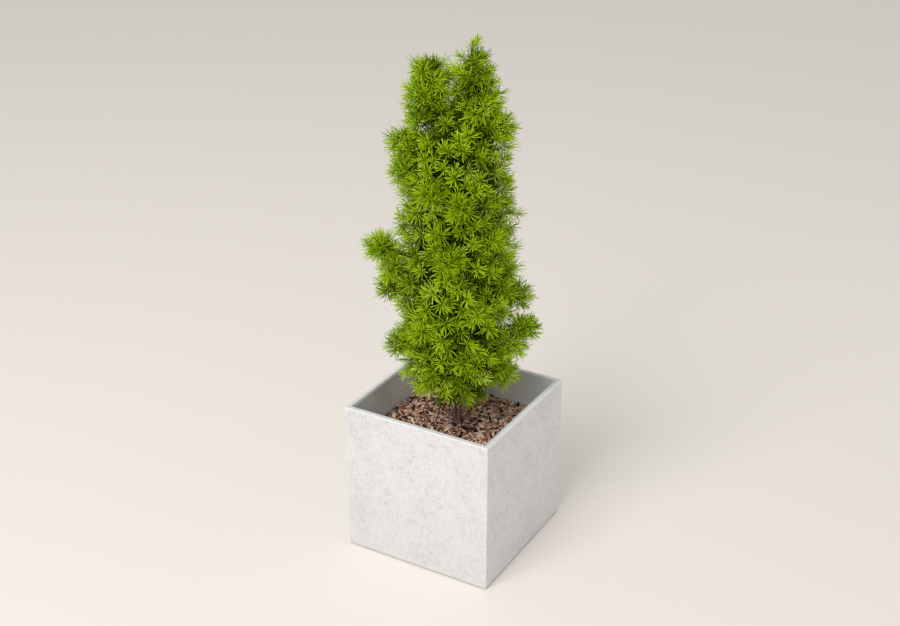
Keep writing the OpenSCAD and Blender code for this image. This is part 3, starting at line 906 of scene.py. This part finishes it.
    def blades(self, shoots: Shoots) -> Shape:
        """The needles of some shoots.

        Needle k of a shoot leaves it at a golden-angle turn, from the back of the shoot to its tip, and
        leans from square to the shoot at the back to nearly along it at the tip. It is a flat blade with a
        keel, widest a quarter of the way along, which bends towards the shoot's axis and ends in a point.
        Its tone grows from root to tip, from dark through mid to lime, and some shoots are young and paler.

        Args:
            shoots: The shoots that bear them.

        Returns:
            The needles and the green sprigs that they stand on, with a colour for each point.
        """
        count, per = len(shoots.tips), self.needles
        k = np.arange(per)[None]
        rank = np.clip((k + 0.5) / per + self.rng.uniform(-0.03, 0.03, (count, per)), 0, 1)
        start = self.rng.uniform(0, math.tau, (count, 1))
        turn = k * GOLDEN_ANGLE + start + self.rng.normal(0, 0.25, (count, per))
        back, front = 112, 14
        lean = np.radians(back - (back - front) * rank**1.15) + self.rng.normal(0, 0.12, (count, per))
        axis = shoots.axes[:, None]
        side, up = (v[:, None] for v in square_to(shoots.axes))
        spoke = side * np.cos(turn)[..., None] + up * np.sin(turn)[..., None]
        aim = axis * np.cos(lean)[..., None] + spoke * np.sin(lean)[..., None]
        length = self.needle * shoots.sizes[:, None] * self.rng.uniform(0.72, 1.12, (count, per))
        root = shoots.tips[:, None] + axis * ((rank - 1) * self.shoot)[..., None]
        flat = unit(np.cross(aim, axis) + self.rng.normal(0, 0.2, aim.shape))
        keel = unit(np.cross(flat, aim))
        bend = unit(aim + 0.45 * axis + 0.1 * UP)
        wide = self.blade * self.rng.uniform(0.85, 1.15, (count, per, 1)) / 2
        points = [root]
        for station, width, depth in ((0.25, 1.0, 1.0), (0.88, 0.85, 0.8)):
            way = aim * (1 - station / 2) + bend * station / 2
            middle = root + way * (length[..., None] * station)
            points += [middle + flat * wide * width, middle - flat * wide * width,
                       middle - keel * wide * depth]
        points.append(root + (aim + bend) / 2 * length[..., None])
        points = np.stack(points, 2)
        one = np.array([[0, 1, 2], [0, 2, 3], [0, 3, 1],
                        [1, 4, 2], [4, 5, 2], [2, 5, 3], [5, 6, 3], [3, 6, 1], [6, 4, 1],
                        [4, 7, 5], [5, 7, 6], [6, 7, 4]])
        tone = np.clip(shoots.tones[:, None] + self.rng.normal(0, 0.12, (count, per)), 0, 1)
        along = np.array([0.0, 0.45, 0.45, 0.35, 0.9, 0.9, 0.7, 1.0])
        share = np.clip(tone[..., None] * (0.55 + 0.55 * along), 0, 1)[..., None]
        low, mid, high, young = (np.array(c) for c in (self.dark, self.mid, self.lime, self.young))
        tones = np.where(share < 0.5, low + (mid - low) * share * 2, mid + (high - mid) * (share * 2 - 1))
        is_young = self.rng.uniform(0, 1, (count, 1, 1, 1)) < self.young_share
        tones = tones + (young - tones) * is_young * np.clip(share - 0.5, 0, 1)
        leaves = Shape(points.reshape(-1, 3), repeated(one, count * per, 8), tones.reshape(-1, 3))
        slim = np.full(count, 1.3 * MM)
        sprigs = tubes(shoots.tips - shoots.axes * self.shoot * 2.4, shoots.tips, slim, slim * 0.7, 5,
                       0 * shoots.tips, 3)
        sprigs.tones = np.tile(np.array(self.sprig), (len(sprigs.points), 1))
        return Shape.joined([leaves, sprigs])

    def stem(self) -> Shape:
        """The trunk from under the mulch to its fork: rings with bark ridges, flared at the soil.

        The ridges are three sines of the turn and the height. Near the soil the trunk leans aside, and
        higher up it winds a little.
        """
        rings, sides = 190, 40
        thick, taper, flare = 12.4 * MM, 5.2 * MM, 5 * MM
        low = self.ground - 45 * MM
        t = np.linspace(0, 1, rings)[:, None]
        turn = np.arange(sides)[None] * math.tau / sides
        z = low + (self.fork - low) * t
        above = z - self.ground
        radius = thick - taper * t + flare * np.exp(-np.clip(above + 0.01, 0, 1) / 0.016)
        ridges = np.sin(7 * turn + 30 * z) + np.sin(11 * turn - 55 * z + 2) + np.sin(4 * turn + 90 * z)
        radius = radius * (1 + 0.035 * ridges + self.rng.normal(0, 0.018, (rings, sides)))
        lean = 8 * MM * np.clip(1 - above * 4, 0, 1)
        wind = np.clip(above * 4, 0, 1)
        x = lean * ACROSS[0] + 4 * MM * np.sin(5.2 * above) * wind
        y = lean * ACROSS[1] + 3 * MM * np.sin(7.1 * above + 1) * wind
        wall = np.stack([x + radius * np.cos(turn), y + radius * np.sin(turn), z + 0 * turn], -1)
        ends = np.array([[x[0, 0], y[0, 0], low], [x[-1, 0], y[-1, 0], self.fork]])
        return Shape(np.concatenate([wall.reshape(-1, 3), ends]), tube_triangles(rings, sides))

    def boughs(self, shoots: Shoots) -> Shape:
        """The wood inside the crown: two top stems, boughs up the trunk, twigs to the shoots."""
        points, _, rise = self.column.spiral(48, 0.3, 0.72)
        low = points * UP - UP * (0.05 + 0.04 * (1 - rise))[:, None]
        low[:, 2] = np.maximum(low[:, 2], self.ground + 0.05)
        thick = (4.6 - 2.2 * rise) * MM
        limbs = [tubes(low, points, thick, thick * 0.45, 8, -0.012 * UP + 0 * points, 7)]
        ends = np.array([tuft.middle() for tuft in self.tufts])
        roots = ends * UP - UP * np.hypot(ends[:, 0], ends[:, 1])[:, None] * 0.7
        stout = np.full(len(ends), 4.2 * MM)
        limbs.append(tubes(roots, ends, stout, stout * 0.5, 8, -0.014 * UP + 0 * ends, 7))
        fork = np.array([[0, 0, self.fork - 0.02]] * 2)
        tops = np.array([-0.084 * ACROSS + UP * (self.tip - 0.095), 0.052 * ACROSS + UP * (self.tip - 0.03)])
        limbs.append(tubes(fork, tops, np.array([6, 6.5]) * MM, np.array([1.6, 1.6]) * MM, 10,
                           np.array([-0.015 * ACROSS, 0.012 * ACROSS]), 9))
        tip, axis = shoots.tips, shoots.axes
        back = tip - axis * self.shoot * 2.3
        heart = np.stack([0.45 * back[:, 0], 0.45 * back[:, 1], back[:, 2] - 0.035], -1)
        small = np.full(len(tip), 1.1 * MM)
        limbs.append(tubes(heart, back, small * 1.5, small, 4, -0.006 * UP + 0 * tip, 4))
        return Shape.joined(limbs)

    def bare_branches(self) -> Shape:
        """The low dead branches between the mulch and the crown, each with a side twig."""
        turns = np.radians([205, 20, 35, 250, 160])
        start = self.ground + np.array([24, 30, 12, 34, 40]) * MM
        reach = np.array([78, 84, 74, 50, 56]) * MM
        lift = np.array([66, 62, 60, 52, 50]) * MM
        low = start[:, None] * UP
        out = np.stack([np.cos(turns), np.sin(turns), 0 * turns], -1)
        high = low + out * reach[:, None] + lift[:, None] * UP
        thick = np.array([3.3, 3.3, 2.9, 2.4, 2.4]) * MM
        main = tubes(low, high, thick, thick * 0.5, 8, -5 * MM * UP + 0 * high, 9)
        turned = turns + np.array([0.7, -0.6, 0.5, 0.8, -0.7])
        knee = low + (high - low) * 0.5 - 4 * MM * UP
        aside = np.stack([np.cos(turned), np.sin(turned), 0 * turns], -1)
        end = knee + aside * 30 * MM + 26 * MM * UP
        return Shape.joined([main, tubes(knee, end, thick * 0.55, thick * 0.3, 6, 0 * end, 4)])

    def build(self) -> None:
        """Makes the wood, then the needles in one piece for each region of the crown."""
        shoots = self.grow()
        wood = Shape.joined([self.stem(), self.boughs(shoots), self.bare_branches()])
        wood.piece("shrub_wood", ShrubBark().build("shrub_bark"), "shrub_bark", "trunk")
        green = Needle().build("needles")
        height = shoots.tips[:, 2]
        aside = shoots.tips @ ACROSS
        skirt, lower, middle = (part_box(f"foliage_{name}")[1].z for name in ("skirt", "lower", "middle"))
        upper = (middle + self.fork) / 2 + 20 * MM
        left_low, left_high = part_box("foliage_left_bough")
        right_low, right_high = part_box("foliage_right_bough")
        out, above_fork, between_tops = 0.15, 45 * MM, -0.01
        left = (aside < -out) & (height > left_low.z) & (height < left_high.z)
        right = (aside > out) & (height > right_low.z) & (height < right_high.z)
        tops = height > self.fork + above_fork
        column = ~(left | right | tops)
        regions = {
            "needles_skirt": (column & (height < skirt), ("foliage_skirt",)),
            "needles_lower": (column & (height >= skirt) & (height < lower), ("foliage_lower",)),
            "needles_middle": (column & (height >= lower) & (height < middle), ("foliage_middle",)),
            "needles_upper": (column & (height >= middle) & (height < upper), ("foliage_upper",)),
            "needles_crown": (column & (height >= upper), ()),
            "needles_left_bough": (left, ("foliage_left_bough",)),
            "needles_right_bough": (right, ("foliage_right_bough",)),
            "needles_left_top": (tops & (aside < between_tops), ("foliage_left_top",)),
            "needles_leader": (tops & (aside >= between_tops), ("foliage_leader",)),
        }
        for name, (keep, nodes) in regions.items():
            self.blades(shoots.picked(keep)).piece(name, green, "needles", *nodes)


# ---- studio


@dataclass
class Studio:
    """A plain pale floor, soft lights and the camera."""

    floor: Colour = paint(249, 243, 235)
    sky: Colour = (1.0, 0.995, 0.99)
    sky_strength: float = 0.58
    lens: float = 53.3
    eye: Triple = (1.8203, -3.1841, 2.5035)
    tilt: float = 64.783
    heading: float = 30.03
    floor_half: float = 30.0
    target: Triple = (0, 0, 0.6)

    def light(self, name: str, place: Triple, size: float, power: float, tint: Colour) -> None:
        """Adds a square area light that faces the middle of the object.

        Args:
            name: The light's name.
            place: Where it hangs.
            size: Its side.
            power: Its power in watts.
            tint: Its colour.
        """
        lamp = bpy.data.lights.new(name, "AREA")
        lamp.size = size
        lamp.energy = power
        lamp.color = tint
        made = placed(name, lamp)
        made.location = place
        aim = np.array(self.target) - np.array(place)
        pitch = math.atan2(math.hypot(aim[0], aim[1]), -aim[2])
        made.rotation_euler = (pitch, 0, math.atan2(aim[0], -aim[1]) + math.pi)

    def build(self) -> None:
        """Sets up the floor, the surroundings, the lights and the camera."""
        scene = bpy.context.scene
        scene.view_settings.view_transform = "Standard"
        mesh = bpy.data.meshes.new("floor")
        half = self.floor_half
        corners = [(-half, -half, 0), (half, -half, 0), (half, half, 0), (-half, half, 0)]
        mesh.from_pydata(corners, [], [(0, 1, 2, 3)])
        tree = Tree("floor")
        mesh.materials.append(tree.finish(Base_Color=self.floor, Roughness=0.9))
        floor = placed("floor", mesh)
        world = bpy.data.worlds.new("studio")
        world.use_nodes = True
        background = world.node_tree.nodes["Background"]
        background.inputs[0].default_value = (*self.sky, 1)
        background.inputs[1].default_value = self.sky_strength
        scene.world = world
        self.light("key", (-0.9, -5.6, 7.4), 4.4, 325, (1.0, 0.99, 0.975))
        self.light("fill", (0.6, -7.0, 4.6), 3.0, 72, (1.0, 0.99, 0.98))
        lens = bpy.data.cameras.new("camera")
        lens.lens = self.lens
        lens.sensor_width = 36
        camera = placed("camera", lens)
        camera.location = self.eye
        camera.rotation_euler = (math.radians(self.tilt), 0, math.radians(self.heading))
        scene.camera = camera


def main() -> None:
    """Builds the whole scene."""
    logging.basicConfig(level=logging.INFO, format="%(message)s")
    Casework().dress()
    Mulch().build()
    Shrub().build()
    Studio().build()
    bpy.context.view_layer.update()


if __name__ == "__main__":
    main()
